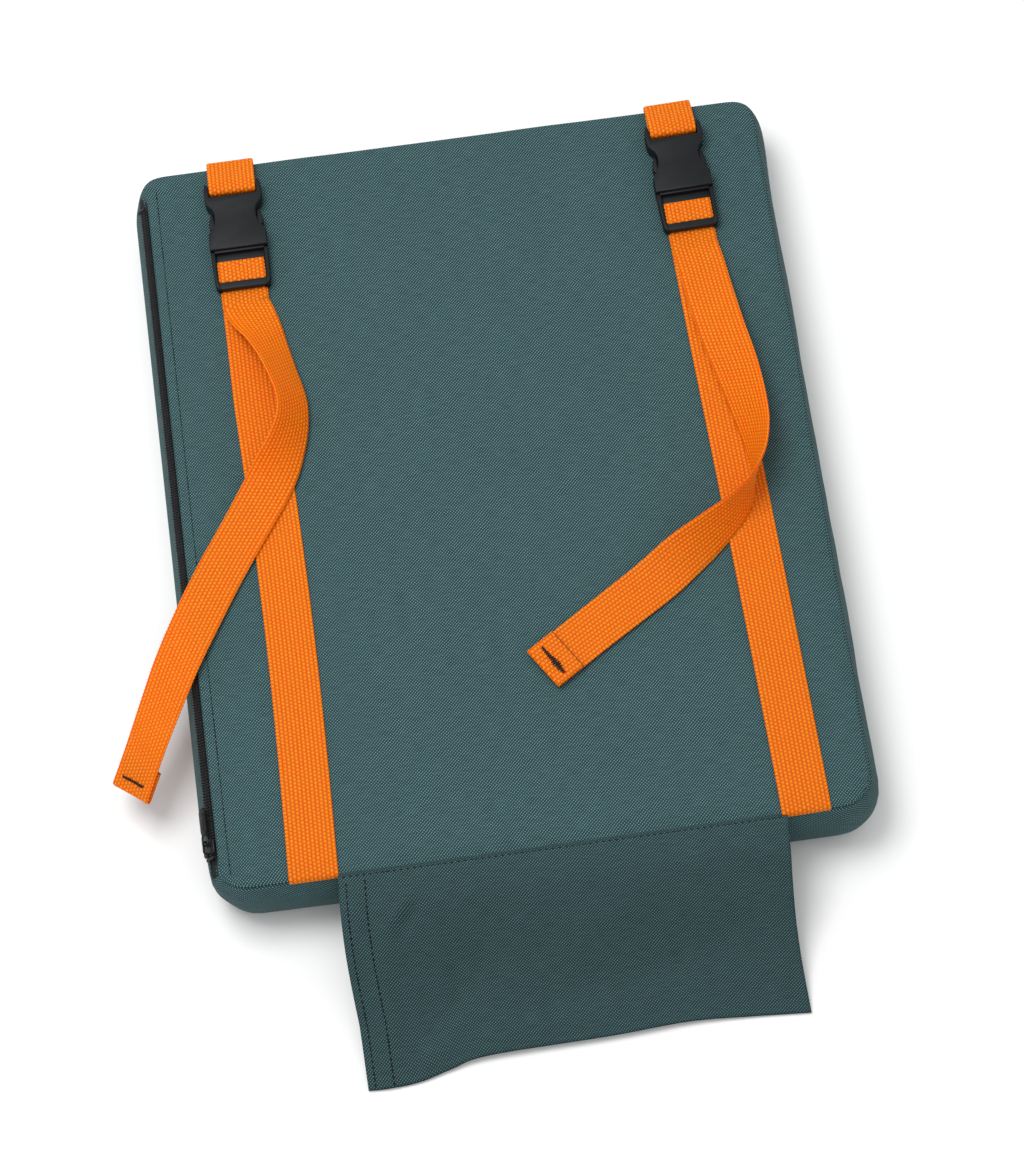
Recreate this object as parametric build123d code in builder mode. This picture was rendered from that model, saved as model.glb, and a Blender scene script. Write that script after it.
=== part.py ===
"""Zip-covered garden kneeling pad with two buckled webbing straps and a fold-out pocket.

Millimetres, +Z up. The origin is the middle of the underside, +Y runs to the buckle end.
"""

import os
from math import cos, hypot, radians, sin

from build123d import *

os.makedirs("parts", exist_ok=True)

# Cushion, measured seam to seam
PAD_WIDTH = 330
PAD_LENGTH = 400
PAD_HEIGHT = 50
CORNER_RADIUS = 16
CLOTH = 1.0
SIDE_BULGE = 4.0
FOAM_GAP = 3.0
FOAM_RELIEF = 8.0  # extra room beside the zipper for the slider's lower plate

# Zipper band, which slopes from the top panel's left edge down to the side wall
BAND_TOP = (-163.0, 49.0)
BAND_FOOT = (-168.0, 42.6)
ZIP_START = -183.8
ZIP_END = 183.8
TAPE_THICKNESS = 0.5
TAPE_SLIT = 0.7  # half width of the slit that the slider's post runs in
COIL_REACH = 2.8
COIL_HEIGHT = 1.8
STOP_LENGTH = 1.5
SLIDER_Y = -177.5
SLIDER_LENGTH = 9.0
SLIDER_REACH = 4.2
PULL_LENGTH = 20.0

# Webbing and the two strap lines: (name, x where the line crosses y = 0, turn about Z)
WEB_WIDTH = 25.0
WEB = 1.3
WEB_GAP = 0.1
STRAP_BEND = 1.0
LOOP_BEND = 0.9
RUN_Z = PAD_HEIGHT + 2 * WEB_GAP + WEB / 2  # middle of the webbing along the face
TAIL_Z = RUN_Z + WEB + WEB_GAP  # middle of the webbing lying on the run
STRAP_LINES = (("left", -117.0, 0.0), ("right", 125.8, 1.5))

# Buckle, along its strap line
MOUTH_Y = 148.0
BUCKLE_HALF = 15.4
WAIST_HALF = 11.0
FEMALE_BOTTOM = PAD_HEIGHT + 0.4
FEMALE_HEIGHT = 9.0
CAVITY_HALF = 13.6
CAVITY_BOTTOM = FEMALE_BOTTOM + 1.8
CAVITY_TOP = FEMALE_BOTTOM + FEMALE_HEIGHT - 1.8
CAVITY_END = 171.0
LOOP_SLOT = (179.5, 183.0)
LOOP_BAR_END = 186.4
LOOP_BAR_Z = (52.5, 57.5)
WING_TIP = 187.5
FIT = 0.3
RAIL_Z = (51.0, 57.3)
FRAME_END = 125.3
END_BAR = (125.3, 129.6, 53.5, 57.0)
MIDDLE_BAR = (131.3, 140.6, 53.0, 56.4)
CROSS_BAR = (146.9, 150.0)
TONGUE_HALF = 1.6
TONGUE_LENGTH = 17.0

# Free strap tails, each as the middle of the webbing and its roll about its own length:
# (across the strap line, y, z, roll in degrees)
TAIL_START = 118.0
LEFT_TAIL = (
    (3.6, 107, 54.5, -12),
    (8.4, 93, 59, -35),
    (13.4, 76, 62.5, -48),
    (18.0, 56, 64.5, -52),
    (17.2, 42, 63.5, -53),
    (11.5, 28, 60.5, -42),
    (1, 11, 55.8, -14),
    (-13, -9, 53.4, 0),
    (-29.5, -33, 52, 0),
    (-43.5, -56, 52, 4),
    (-56, -78, 51.5, 12),
    (-66, -97, 48, 19),
    (-76, -116, 43, 24),
    (-88.2, -136.3, 30, 22),
)
RIGHT_TAIL = (
    (1.4, 104, 53.6, 3),
    (2.7, 86, 55.2, 9),
    (5, 63, 57.8, 20),
    (8.4, 39, 60.3, 32),
    (10.5, 17, 62.5, 45),
    (11.2, 1, 64, 58),
    (9.5, -14, 65.2, 74),
    (4.0, -28, 65, 94),
    (-6.5, -39.5, 62.5, 113),
    (-20.5, -48.8, 60.3, 130),
    (-37.8, -58.6, 56.6, 153),
    (-54.6, -68.8, 53.2, 172),
    (-88.5, -88.2, 52, 180),
    (-116.8, -105.2, 52, 180),
)
FOLD_LENGTH = 16.0
FOLD_GAP = 0.5
FOLD_END = 0.7
FOLD_SIDE = {"left": -1, "right": 1}  # the left end is folded under, the right end over
BARTACK_LENGTH = {"left": 14.6, "right": 18.0}
BARTACK_WIDTH = 2.4
BARTACK_RISE = 0.4  # middle of the thread above the webbing
BARTACK_FROM_END = 5.6

# Pocket, which drapes from the front seam down to the ground
POCKET_LEFT = -105.0
POCKET_RIGHT = 121.5
UPPER_DRAPE = (
    (-200.9, 49.3),
    (-210, 48.6),
    (-262, 22.5),
    (-290, 6),
    (-298, 1.7),
)
LOWER_DRAPE = ((-202.4, 47.6), (-206.2, 46.2), (-245, 8), (-262, 0.55), (-297, 0.55))
SIDE_SEAM = ((-296, 1.3), (-262.5, 1.3), (-246, 9.4), (-207.3, 47.2), (-204, 48.4))
DRAPE_BEND = 5.0


def save(part, name, place=Location()):
    """Labels a finished piece and writes it where it belongs on the pad."""
    placed = part.moved(place)
    placed.label = name
    export_step(placed, f"parts/{name}.step")


def panel(name, z, left):
    """A flat cloth panel with rounded corners, from x = left to the right-hand seam."""
    width = PAD_WIDTH / 2 - left
    with BuildPart() as sheet:
        with BuildSketch(Plane.XY.offset(z)):
            with Locations(((PAD_WIDTH / 2 + left) / 2, 0)):
                RectangleRounded(width, PAD_LENGTH, CORNER_RADIUS)
        extrude(amount=CLOTH)
    save(sheet.part, name)


def foam_core():
    """The foam slab inside the cover, cut back beside the zipper."""
    left = -PAD_WIDTH / 2 + FOAM_GAP + FOAM_RELIEF / 2
    right = PAD_WIDTH / 2 - FOAM_GAP
    with BuildPart() as foam:
        with BuildSketch(Plane.XY.offset(CLOTH + WEB_GAP)):
            with Locations(((left + right) / 2, 0)):
                RectangleRounded(right - left, PAD_LENGTH - 2 * FOAM_GAP, CORNER_RADIUS)
        extrude(amount=PAD_HEIGHT - 2 * (CLOTH + WEB_GAP))
    save(foam.part, "foam_core")


def wall_section(reach, half, top_x, top_z):
    """Cross-section of a bulging side wall, on the plane where its straight run starts."""
    low = (reach, CLOTH)
    middle = ((reach + top_x) / 2 + SIDE_BULGE, (CLOTH + top_z) / 2)
    with BuildSketch(Plane.XZ.offset(-half)) as section:
        with BuildLine():
            ThreePointArc(low, middle, (top_x, top_z))
            Line((top_x, top_z), (top_x - CLOTH, top_z))
            inner_middle = (middle[0] - CLOTH, middle[1])
            ThreePointArc((top_x - CLOTH, top_z), inner_middle, (reach - CLOTH, CLOTH))
            Line((reach - CLOTH, CLOTH), low)
        make_face()
    return section.sketch


def boxing(name, turn, reach, half, corner_turns, top_x, top_z):
    """One strip of the side wall: a straight run and its share of the bends at both ends."""
    with BuildPart() as strip:
        extrude(wall_section(reach, half, top_x, top_z), amount=2 * half)
        for end, angle in zip((-1, 1), corner_turns):
            if angle:
                section = wall_section(reach, end * half, top_x, top_z)
                axis = Axis((reach - CORNER_RADIUS, end * half, 0), (0, 0, end))
                revolve(section, axis=axis, revolution_arc=angle)
    save(strip.part, name, Location((0, 0, 0), (0, 0, turn)))


def side_walls():
    """Four strips. The front and back ones wrap round the corners beside the zipper."""
    top = PAD_HEIGHT - CLOTH
    across = PAD_WIDTH / 2 - CORNER_RADIUS
    along = PAD_LENGTH / 2 - CORNER_RADIUS
    boxing("boxing_right", 0, PAD_WIDTH / 2, along, (45, 45), PAD_WIDTH / 2, top)
    boxing("boxing_back", 90, PAD_LENGTH / 2, across, (45, 90), PAD_LENGTH / 2, top)
    boxing("boxing_front", -90, PAD_LENGTH / 2, across, (90, 45), PAD_LENGTH / 2, top)
    boxing("boxing_left", 180, PAD_WIDTH / 2, along, (0, 0), -BAND_FOOT[0], BAND_FOOT[1])


# The zipper's own directions: down the band, out of the band, and +Y along it
BAND_RUN = hypot(BAND_FOOT[0] - BAND_TOP[0], BAND_FOOT[1] - BAND_TOP[1])
DOWN_BAND = Vector(
    (BAND_FOOT[0] - BAND_TOP[0]) / BAND_RUN, 0, (BAND_FOOT[1] - BAND_TOP[1]) / BAND_RUN
)
OUT_OF_BAND = Vector(DOWN_BAND.Z, 0, -DOWN_BAND.X)
BAND_MIDDLE = Vector((BAND_TOP[0] + BAND_FOOT[0]) / 2, 0, (BAND_TOP[1] + BAND_FOOT[1]) / 2)


def band_plane(y):
    """Sketch plane across the zipper at y: local x down the band, local y out of it."""
    return Plane(BAND_MIDDLE + Vector(0, y, 0), x_dir=DOWN_BAND, z_dir=DOWN_BAND.cross(OUT_OF_BAND))


def band_bar(y_from, y_to, corners, name):
    """A straight bar along the zipper with a rectangular section, given by two corners."""
    (x0, h0), (x1, h1) = corners
    plane = band_plane(y_from)
    with BuildPart() as bar:
        with BuildSketch(plane):
            with Locations(((x0 + x1) / 2, (h0 + h1) / 2)):
                Rectangle(abs(x1 - x0), h1 - h0)
        extrude(amount=(y_to - y_from) * plane.z_dir.Y)
    save(bar.part, name)


def zipper_chain():
    """Both tapes, both coil halves and the stops at the ends of the chain."""
    reach = BAND_RUN / 2 - TAPE_THICKNESS
    for name, side in (("upper", -1), ("lower", 1)):
        tape = ((side * TAPE_SLIT, -TAPE_THICKNESS), (side * reach, 0))
        coil = ((side * TAPE_SLIT, 0), (side * COIL_REACH, COIL_HEIGHT))
        band_bar(ZIP_START, ZIP_END, tape, f"zipper_tape_{name}")
        band_bar(ZIP_START, ZIP_END, coil, f"zipper_coil_{name}")
    stop = ((-COIL_REACH - 0.4, COIL_HEIGHT), (COIL_REACH + 0.4, COIL_HEIGHT + 0.8))
    band_bar(ZIP_START, ZIP_START + STOP_LENGTH, stop, "zipper_top_stop")
    band_bar(ZIP_END - STOP_LENGTH, ZIP_END, stop, "zipper_bottom_stop")


# Slider heights above the tape, and the pull's pivot beside the slider's middle
SLIDER_TOP = (COIL_HEIGHT + 0.4, COIL_HEIGHT + 1.4)
SLIDER_FOOT = (-TAPE_THICKNESS - 2.2, -TAPE_THICKNESS - 1.2)
BRIDGE_HALF = 3.2
BRIDGE_HEIGHT = 2.8
BRIDGE_WALL = 1.0
PIVOT_AHEAD = 1.4
PIVOT_HEIGHT = SLIDER_TOP[1] + 1.1
PULL_ROD = 0.6
PULL_HALF = 2.6
PULL_THICKNESS = 1.2


def zipper_slider():
    """Slider: two flanged plates joined by a post, with the bridge that holds the pull."""
    lip = 1.0
    plane = band_plane(SLIDER_Y)
    with BuildPart() as slider:
        with BuildSketch(plane):
            with Locations((0, sum(SLIDER_TOP) / 2), (0, sum(SLIDER_FOOT) / 2)):
                Rectangle(2 * SLIDER_REACH, SLIDER_TOP[1] - SLIDER_TOP[0])
            with Locations((0, (SLIDER_TOP[0] + SLIDER_FOOT[1]) / 2)):
                Rectangle(2 * (TAPE_SLIT - FIT), SLIDER_TOP[0] - SLIDER_FOOT[1])
            for side in (-1, 1):
                with Locations((side * (SLIDER_REACH - lip / 2), SLIDER_TOP[0] - 0.7)):
                    Rectangle(lip, 1.4)
        extrude(amount=SLIDER_LENGTH / 2, both=True)
        side_view = Plane(plane.origin, x_dir=(0, 1, 0), z_dir=DOWN_BAND)
        out = 1 if side_view.y_dir.dot(OUT_OF_BAND) > 0 else -1
        window = BRIDGE_HEIGHT - BRIDGE_WALL
        with BuildSketch(side_view):
            with Locations((0, out * (SLIDER_TOP[1] + BRIDGE_HEIGHT / 2))):
                Rectangle(2 * BRIDGE_HALF, BRIDGE_HEIGHT)
            with Locations((0, out * (SLIDER_TOP[1] + window / 2))):
                Rectangle(2 * (BRIDGE_HALF - BRIDGE_WALL), window, mode=Mode.SUBTRACT)
        extrude(amount=BRIDGE_WALL, both=True)
    save(slider.part, "zipper_slider")


def zipper_pull():
    """Pull tab: a rod under the slider's bridge, two arms beside it and a flat tab."""
    origin = BAND_MIDDLE + Vector(0, SLIDER_Y + PIVOT_AHEAD, 0) + OUT_OF_BAND * PIVOT_HEIGHT
    flat = Plane(origin, x_dir=DOWN_BAND, z_dir=OUT_OF_BAND)
    ahead = 1 if flat.y_dir.Y > 0 else -1
    tab_start = 3.4
    with BuildPart() as pull:
        with BuildSketch(flat):
            with Locations((0, ahead * (PULL_LENGTH + tab_start) / 2)):
                RectangleRounded(2 * PULL_HALF, PULL_LENGTH - tab_start, 1.6)
            for side in (-1, 1):
                with Locations((side * (PULL_HALF - 0.5), ahead * tab_start / 2 + ahead * 0.6)):
                    Rectangle(1.0, tab_start + 2.4)
        extrude(amount=PULL_THICKNESS / 2, both=True)
        with BuildSketch(Plane(origin, x_dir=OUT_OF_BAND, z_dir=DOWN_BAND)):
            Circle(PULL_ROD)
        extrude(amount=PULL_HALF, both=True)
    save(pull.part, "zipper_pull")


def webbing_path(points, radii):
    """A strip of webbing on edge in the YZ plane, extruded to its full width."""
    with BuildPart() as strip:
        with BuildSketch(Plane.YZ):
            with BuildLine() as path:
                FilletPolyline(*points, radius=radii)
            trace(path.line, line_width=WEB)
        extrude(amount=WEB_WIDTH / 2, both=True)
    return strip


def anchor_loop(side, place):
    """Short loop from the back seam, round the buckle's end bar and back to the seam."""
    clear = WEB / 2 + WEB_GAP
    under = LOOP_BAR_Z[0] - clear
    over = LOOP_BAR_Z[1] + clear
    front = LOOP_SLOT[1] - clear
    seam = PAD_LENGTH / 2 + CLOTH + clear
    foot = PAD_HEIGHT - 2.5
    points = (
        (seam, foot),
        (seam, under),
        (front, under),
        (front, over),
        (LOOP_BAR_END + 1.6, over),
        (seam + WEB + WEB_GAP, PAD_HEIGHT + 2.5),
        (seam + WEB + WEB_GAP, foot),
    )
    loop = webbing_path(points, LOOP_BEND)
    save(loop.part, f"{side}_anchor_loop", place)


def tail_planes(stations):
    """Cross-section planes along a tail: x across the webbing, z along its length."""
    start = Vector(0, TAIL_START, TAIL_Z)
    middles = [start] + [Vector(x, y, z) for x, y, z, _ in stations]
    rolls = [0] + [roll for _, _, _, roll in stations]
    planes = [Plane(start, x_dir=(1, 0, 0), z_dir=(0, -1, 0))]
    for i, middle in enumerate(middles[1:], start=1):
        before = middles[i - 1]
        after = middles[min(i + 1, len(middles) - 1)]
        heading = (after - before).normalized()
        level = Vector(-heading.Y, heading.X, 0).normalized()
        upright = heading.cross(level) * -1
        roll = radians(rolls[i])
        across = level * cos(roll) + upright * sin(roll) * (1 if upright.Z > 0 else -1)
        planes.append(Plane(middle, x_dir=across, z_dir=heading))
    return planes


def strap(side, place, stations):
    """One length of webbing: front seam, up round the middle bar, then the free tail."""
    clear = WEB / 2 + WEB_GAP
    front, back, _, over = MIDDLE_BAR
    points = (
        (-PAD_LENGTH / 2, RUN_Z),
        (back + clear, RUN_Z),
        (back + clear, over + clear),
        (front - clear, over + clear),
        (front - clear, TAIL_Z),
        (TAIL_START, TAIL_Z),
    )
    length = webbing_path(points, STRAP_BEND)
    planes = tail_planes(stations)
    with BuildPart() as free_end:
        for plane in planes:
            with BuildSketch(plane):
                Rectangle(WEB_WIDTH, WEB)
        loft(ruled=True)
    with BuildPart() as whole:
        add(length.part)
        add(free_end.part)
        add(folded_end(planes[-1], FOLD_SIDE[side]))
    save(whole.part, f"{side}_strap", place)
    bartack(side, place, planes[-1])


def upper_side(plane):
    """Which way along the plane's y the webbing's upper face looks."""
    return 1 if plane.y_dir.Z > 0 else -1


def folded_end(end, side):
    """The last length of a tail, turned back under it (side -1) or over it (side 1)."""
    layer = (WEB + FOLD_GAP) * side * upper_side(end)
    with BuildPart() as fold:
        with BuildSketch(end):
            with Locations((0, layer)):
                Rectangle(WEB_WIDTH, WEB)
        extrude(amount=-FOLD_LENGTH)
        with BuildSketch(end):
            with Locations((0, layer / 2)):
                Rectangle(WEB_WIDTH, WEB + abs(layer))
        extrude(amount=FOLD_END)
    return fold.part


def bartack(side, place, end):
    """The thick row of thread across the folded end of a tail, on its upper face."""
    over = max(FOLD_SIDE[side], 0) * (WEB + FOLD_GAP)
    rise = upper_side(end) * (WEB / 2 + BARTACK_RISE + over)
    middle = end.origin - end.z_dir * BARTACK_FROM_END + end.y_dir * rise
    with BuildPart() as tack:
        with BuildSketch(Plane(middle, x_dir=end.x_dir, z_dir=end.y_dir)):
            RectangleRounded(BARTACK_LENGTH[side], BARTACK_WIDTH, 0.8)
        extrude(amount=BARTACK_RISE / 2, both=True)
    save(tack.part, f"{side}_bartack", place)


def mirrored_outline(points, arcs):
    """Closed outline from one side's corners, mirrored about the buckle's middle line."""
    with BuildLine() as rim:
        for i, (start, end) in enumerate(zip(points, points[1:])):
            if i in arcs:
                ThreePointArc(start, arcs[i], end)
            else:
                Line(start, end)
        mirror(about=Plane.YZ)
    return rim.line


def buckle_female(side, place):
    """Socket half: waisted shell with side windows, wings and the bar for the loop."""
    waist_from, waist_to = 164.0, 171.0
    outline = (
        (0, MOUTH_Y),
        (BUCKLE_HALF, MOUTH_Y),
        (BUCKLE_HALF, 157.0),
        (WAIST_HALF, waist_from),
        (WAIST_HALF, waist_to),
        (BUCKLE_HALF, 177.5),
        (BUCKLE_HALF, 183.0),
        (CAVITY_HALF - 0.6, WING_TIP),
        (CAVITY_HALF - 0.6, LOOP_BAR_END),
        (0, LOOP_BAR_END),
    )
    arcs = {2: (12.4, 159.4), 4: (12.0, 175.2), 6: (15.2, 186.0)}
    bar_half = CAVITY_HALF - 0.6
    with BuildPart() as shell:
        with BuildSketch(Plane.XY.offset(FEMALE_BOTTOM)):
            make_face(mirrored_outline(outline, arcs).edges())
        extrude(amount=FEMALE_HEIGHT)
        with BuildSketch(Plane.XY.offset(CAVITY_BOTTOM)):
            with Locations((0, (MOUTH_Y - 1 + CAVITY_END) / 2)):
                Rectangle(2 * CAVITY_HALF, CAVITY_END - MOUTH_Y + 1)
        extrude(amount=CAVITY_TOP - CAVITY_BOTTOM, mode=Mode.SUBTRACT)
        with BuildSketch(Plane.XY):
            with Locations((0, sum(LOOP_SLOT) / 2)):
                Rectangle(2 * bar_half, LOOP_SLOT[1] - LOOP_SLOT[0])
        extrude(amount=2 * PAD_HEIGHT, mode=Mode.SUBTRACT)
        above = FEMALE_BOTTOM + FEMALE_HEIGHT + 1
        for low, high in ((FEMALE_BOTTOM - 1, LOOP_BAR_Z[0]), (LOOP_BAR_Z[1], above)):
            with BuildSketch(Plane.XY.offset(low)):
                with Locations((0, (LOOP_SLOT[1] + WING_TIP + 1) / 2)):
                    Rectangle(2 * bar_half, WING_TIP + 1 - LOOP_SLOT[1])
            extrude(amount=high - low, mode=Mode.SUBTRACT)
        top_rim = shell.faces().sort_by(Axis.Z)[-1].edges().filter_by(GeomType.LINE)
        chamfer(top_rim.filter_by(Axis.Y).group_by(SortBy.LENGTH)[-1], 0.6)
    save(shell.part, f"{side}_buckle_female", place)


def buckle_male(side, place):
    """Plug half: cross bar with guide tongue, two rails and the two adjuster bars."""
    rail_in = WEB_WIDTH / 2 + FIT
    rail_top = MOUTH_Y - FIT
    end_half = BUCKLE_HALF - 0.8
    nose_z = (CAVITY_BOTTOM + FIT, CAVITY_TOP - FIT)
    with BuildPart() as frame:
        with BuildSketch(Plane.XY.offset(RAIL_Z[0])):
            with BuildLine():
                Polyline(
                    (-BUCKLE_HALF, rail_top),
                    (BUCKLE_HALF, rail_top),
                    (end_half, FRAME_END),
                    (-end_half, FRAME_END),
                    close=True,
                )
            outline = make_face()
            fillet(outline.vertices().group_by(Axis.Y)[0], 2.2)
            with Locations((0, (FRAME_END + rail_top) / 2)):
                Rectangle(2 * rail_in, rail_top - FRAME_END + 1, mode=Mode.SUBTRACT)
        extrude(amount=RAIL_Z[1] - RAIL_Z[0])
        for y_from, y_to, z_from, z_to in (END_BAR, MIDDLE_BAR):
            with BuildSketch(Plane.YZ):
                with Locations(((y_from + y_to) / 2, (z_from + z_to) / 2)):
                    RectangleRounded(y_to - y_from, z_to - z_from, 0.9)
            extrude(amount=rail_in + 0.2, both=True)
        for half, y_from, y_to in (
            (CAVITY_HALF - FIT, CROSS_BAR[0], CROSS_BAR[1]),
            (TONGUE_HALF, CROSS_BAR[1], CROSS_BAR[1] + TONGUE_LENGTH),
        ):
            with BuildSketch(Plane.XY.offset(nose_z[0])):
                with Locations((0, (y_from + y_to) / 2)):
                    Rectangle(2 * half, y_to - y_from)
            extrude(amount=nose_z[1] - nose_z[0])
    save(frame.part, f"{side}_buckle_male", place)


def prong(side, place, name, hand):
    """One spring arm of the plug, with its latch shoulder and finger pad."""
    root = CROSS_BAR[1] + 0.05
    shoulder = 160.9
    outline = (
        (hand * 10.4, root),
        (hand * 12.6, root),
        (hand * 13.1, shoulder),
        (hand * 14.5, shoulder),
        (hand * 14.0, 166.0),
        (hand * 12.4, 170.4),
        (hand * 11.4, 170.4),
        (hand * 11.2, shoulder),
    )
    with BuildPart() as arm:
        with BuildSketch(Plane.XY.offset(CAVITY_BOTTOM + FIT)):
            with BuildLine():
                Polyline(*outline, close=True)
            make_face()
        extrude(amount=CAVITY_TOP - CAVITY_BOTTOM - 2 * FIT)
    save(arm.part, f"{side}_prong_{name}", place)


def strap_sets():
    """Everything on both strap lines."""
    for (side, x, turn), stations in zip(STRAP_LINES, (LEFT_TAIL, RIGHT_TAIL)):
        place = Location((x, 0, 0), (0, 0, turn))
        anchor_loop(side, place)
        strap(side, place, stations)
        buckle_female(side, place)
        buckle_male(side, place)
        for name, hand in (("outer", 1), ("inner", -1)):
            prong(side, place, name, hand if x > 0 else -hand)


def drape(points):
    """The pocket's side view: a cloth strip that follows the given corners."""
    with BuildSketch(Plane.YZ.offset(POCKET_LEFT)) as side_view:
        with BuildLine() as path:
            FilletPolyline(*points, radius=DRAPE_BEND)
        trace(path.line, line_width=CLOTH)
    return side_view.sketch


def pocket():
    """Two draped panels, closed along the seam, the far edge and the right-hand side."""
    width = POCKET_RIGHT - POCKET_LEFT
    with BuildPart() as upper:
        extrude(drape(UPPER_DRAPE), amount=width)
        with BuildSketch(Plane.YZ.offset(POCKET_RIGHT - CLOTH)):
            with BuildLine():
                Polyline(*UPPER_DRAPE, *SIDE_SEAM, close=True)
            make_face()
        extrude(amount=CLOTH)
    save(upper.part, "pocket_upper_panel")
    with BuildPart() as lower:
        extrude(drape(LOWER_DRAPE), amount=width)
    save(lower.part, "pocket_lower_panel")


panel("base_panel", 0, -PAD_WIDTH / 2)
panel("face_panel", PAD_HEIGHT - CLOTH, BAND_TOP[0])
foam_core()
side_walls()
zipper_chain()
zipper_slider()
zipper_pull()
strap_sets()
pocket()
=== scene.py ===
"""Looks of the kneeling pad: canvas cover, zipper, webbing straps, buckles and the draped pocket.

Sizes are in millimetres, in the frame of the CAD model, and become metres when a mesh is made.
"""

from math import cos, pi, radians, sin

import bmesh
import bpy
import numpy as np
from mathutils import Matrix, Vector, noise


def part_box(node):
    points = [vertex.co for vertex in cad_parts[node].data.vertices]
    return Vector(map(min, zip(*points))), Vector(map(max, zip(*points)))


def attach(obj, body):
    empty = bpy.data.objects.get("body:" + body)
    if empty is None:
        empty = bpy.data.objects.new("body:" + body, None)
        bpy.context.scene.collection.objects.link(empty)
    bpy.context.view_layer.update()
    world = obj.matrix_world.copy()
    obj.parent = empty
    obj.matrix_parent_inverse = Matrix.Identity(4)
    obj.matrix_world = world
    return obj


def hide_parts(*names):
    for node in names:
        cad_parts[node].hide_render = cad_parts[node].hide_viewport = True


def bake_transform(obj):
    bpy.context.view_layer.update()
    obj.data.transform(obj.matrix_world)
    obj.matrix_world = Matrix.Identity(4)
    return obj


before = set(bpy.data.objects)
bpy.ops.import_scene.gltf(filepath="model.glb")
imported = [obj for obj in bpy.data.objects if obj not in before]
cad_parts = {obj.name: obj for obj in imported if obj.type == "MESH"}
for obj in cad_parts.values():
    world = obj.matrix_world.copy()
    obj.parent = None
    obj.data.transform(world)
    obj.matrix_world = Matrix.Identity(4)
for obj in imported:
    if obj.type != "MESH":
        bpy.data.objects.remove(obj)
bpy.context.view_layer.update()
MM = 0.001


def size_of(node):
    """Lowest and highest corner of a CAD node, in millimetres."""
    low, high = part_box(node)
    return np.array(low) / MM, np.array(high) / MM


# ---- camera, floor and light

# Places in metres, the roll in degrees, the lens and its sensor in millimetres
EYE = Vector((-0.0367, -0.7321, 1.7721))
AIM = Vector((0.00195, -0.05545, 0.05))
ROLL = -4.64
LENS = 112.646
SENSOR = 36.0
SURROUND = 0.64
FLOOR_HALF = 6000.0


def camera():
    data = bpy.data.cameras.new("camera")
    data.sensor_fit = "VERTICAL"
    data.sensor_height = SENSOR
    data.sensor_width = SENSOR
    data.lens = LENS
    data.clip_end = 20
    eye = bpy.data.objects.new("camera", data)
    look = (AIM - EYE).to_track_quat("-Z", "Y").to_matrix().to_4x4()
    eye.matrix_world = Matrix.Translation(EYE) @ look @ Matrix.Rotation(radians(ROLL), 4, "Z")
    bpy.context.scene.collection.objects.link(eye)
    bpy.context.scene.camera = eye


def area_light(name, place, width, depth, power):
    """A rectangular light that points at the middle of the pad."""
    data = bpy.data.lights.new(name, "AREA")
    data.shape = "RECTANGLE"
    data.size = width
    data.size_y = depth
    data.energy = power
    light = bpy.data.objects.new(name, data)
    light.location = place
    light.rotation_euler = (-Vector(place)).to_track_quat("-Z", "Y").to_euler()
    bpy.context.scene.collection.objects.link(light)


def studio():
    """A white floor lit by a soft key light on the left, a weak fill and a bright surround."""
    scene = bpy.context.scene
    scene.view_settings.view_transform = "Standard"
    world = bpy.data.worlds.new("surround")
    world.use_nodes = True
    background = world.node_tree.nodes["Background"]
    background.inputs["Color"].default_value = (1, 1, 1, 1)
    background.inputs["Strength"].default_value = SURROUND
    scene.world = world
    area_light("key", (-0.42, 0.22, 1.62), 0.85, 0.7, 18)
    area_light("fill", (0.3, -0.6, 2.6), 1.6, 1.6, 8)
    half = FLOOR_HALF
    corners = [(-half, -half, 0), (half, -half, 0), (half, half, 0), (-half, half, 0)]
    white = Shade("floor", Base_Color=(0.9, 0.9, 0.9, 1), Roughness=0.9).material
    floor = mesh_object("floor", corners, [(0, 1, 2, 3)], white)


# ---- meshes

def mesh_object(name, points, faces, material, crease=40, uv=None):
    """A mesh in millimetres as an object, smooth except at edges sharper than crease degrees."""
    mesh = bpy.data.meshes.new(name)
    mesh.from_pydata((np.asarray(points, float) * MM).tolist(), [], [list(f) for f in faces])
    mesh.polygons.foreach_set("use_smooth", [True] * len(mesh.polygons))
    mesh.set_sharp_from_angle(angle=radians(crease))
    mesh.materials.append(material)
    if uv is not None:
        layer = mesh.uv_layers.new(name="cloth")
        layer.data.foreach_set("uv", np.asarray(uv, np.float32).ravel())
    thing = bpy.data.objects.new(name, mesh)
    bpy.context.scene.collection.objects.link(thing)
    return thing


def quad_grid(rows, columns, closed=False):
    """Faces of a grid of points; if closed, its last column is joined to the first."""
    faces = []
    for i in range(rows - 1):
        here, there = i * columns, (i + 1) * columns
        for j in range(columns if closed else columns - 1):
            k = (j + 1) % columns
            faces.append((here + j, there + j, there + k, here + k))
    return faces


def ring_offset(side, up, radius, k, sides):
    """From a rod's middle to point k of the ring round it."""
    angle = 2 * pi * k / sides
    return radius * (side * cos(angle) + up * sin(angle))


def unit(vector):
    return vector / np.linalg.norm(vector)


def headings(path):
    """The direction of a path at each of its points."""
    ahead = np.gradient(path, axis=0)
    return ahead / np.linalg.norm(ahead, axis=1)[:, None]


def capped(faces, rows, around):
    """The faces of a closed grid with its first and last rings filled."""
    last = (rows - 1) * around
    return [*faces, tuple(range(around)), tuple(range(last, last + around))[::-1]]


def joined(parts):
    """Points and faces of several (points, faces) as one."""
    points, faces, start = [], [], 0
    for some_points, some_faces in parts:
        points.extend(map(tuple, some_points))
        faces.extend(tuple(start + i for i in face) for face in some_faces)
        start += len(some_points)
    return points, faces


def smooth_step(x):
    x = np.clip(x, 0, 1)
    return x * x * (3 - 2 * x)


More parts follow.
